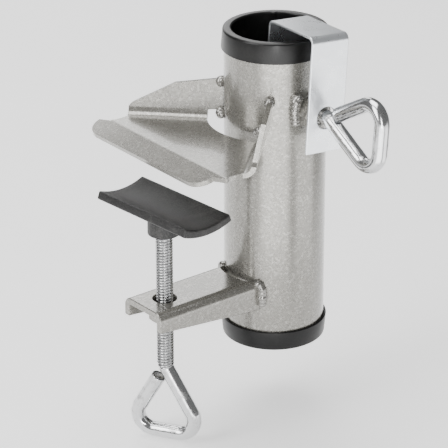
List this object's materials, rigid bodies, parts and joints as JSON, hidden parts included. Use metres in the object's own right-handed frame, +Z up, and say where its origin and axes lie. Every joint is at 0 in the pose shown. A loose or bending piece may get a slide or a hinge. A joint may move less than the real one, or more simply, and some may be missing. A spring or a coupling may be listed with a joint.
{
  "type": "rod holder",
  "caption": "Clamp-on rod holder: an upright socket tube with a screw clamp that grips a rail and a strap with a second screw that grips the rod.",
  "frame": {"origin": "on the axis of the socket tube, at the underside of the bottom collar", "axes": "+Z up along the tube; -X towards the rail that the jaw and the pad grip; -Y towards the rod screw"},
  "size_m": [0.1347, 0.1605, 0.2465],
  "materials": {
    "silver_paint": "silver-grey metallic flake paint, semi-gloss",
    "painted_weld": "the same paint over lumpy weld metal, glossy",
    "black_collar": "black moulded plastic, semi-gloss",
    "black_pad": "black moulded plastic with a fine matt grain",
    "bright_zinc": "bright zinc plating on drawn steel wire",
    "satin_zinc": "pale blue-grey satin zinc plating on sheet steel",
    "spring_steel": "plain spring steel"
  },
  "bodies": {
    "frame": {"main_tube": "silver_paint", "top_collar": "black_collar", "bottom_collar": "black_collar", "upper_jaw": "silver_paint", "jaw_weld_far_top": "painted_weld", "jaw_weld_near_top": "painted_weld", "jaw_weld_far_low": "painted_weld", "jaw_weld_near_low": "painted_weld", "lower_arm": "silver_paint", "arm_weld_far": "painted_weld", "arm_weld_near": "painted_weld", "arm_nut": "silver_paint", "arm_nut_weld": "painted_weld", "rod_nut": "silver_paint", "rod_nut_weld": "painted_weld"},
    "clamp_carriage": {"pad_retaining_ring": "spring_steel"},
    "clamp_screw": {"clamp_screw": "bright_zinc"},
    "clamp_pad": {"clamp_pad": "black_pad"},
    "rod_strap": {"rod_strap": "satin_zinc"},
    "rod_screw": {"rod_screw": "bright_zinc"}
  },
  "joints": [
    {"name": "clamp_travel", "type": "slide", "parent": "frame", "child": "clamp_carriage", "axis": [0, 0, 1], "range_m": [-0.04, 0.021]},
    {"name": "clamp_screw_turn", "type": "hinge", "parent": "clamp_carriage", "child": "clamp_screw", "pos_m": [-0.0824, 0, 0], "axis": [0, 0, 1], "range_deg": [-8434.3, 4525.7]},
    {"name": "pad_swivel", "type": "hinge", "parent": "clamp_carriage", "child": "clamp_pad", "pos_m": [-0.0824, 0, 0], "axis": [0, 0, 1], "continuous": true},
    {"name": "strap_travel", "type": "slide", "parent": "frame", "child": "rod_strap", "axis": [0, -1, 0], "range_m": [0, 0.012]},
    {"name": "rod_screw_turn", "type": "hinge", "parent": "rod_strap", "child": "rod_screw", "pos_m": [0, 0, 0.1509], "axis": [0, -1, 0], "range_deg": [-205.7, 2674.3]}
  ],
  "couplings": [
    {"joint": "clamp_screw_turn", "follows": "clamp_travel", "rad_per_m": 3590.4},
    {"joint": "rod_screw_turn", "follows": "strap_travel", "rad_per_m": 3590.4}
  ]
}
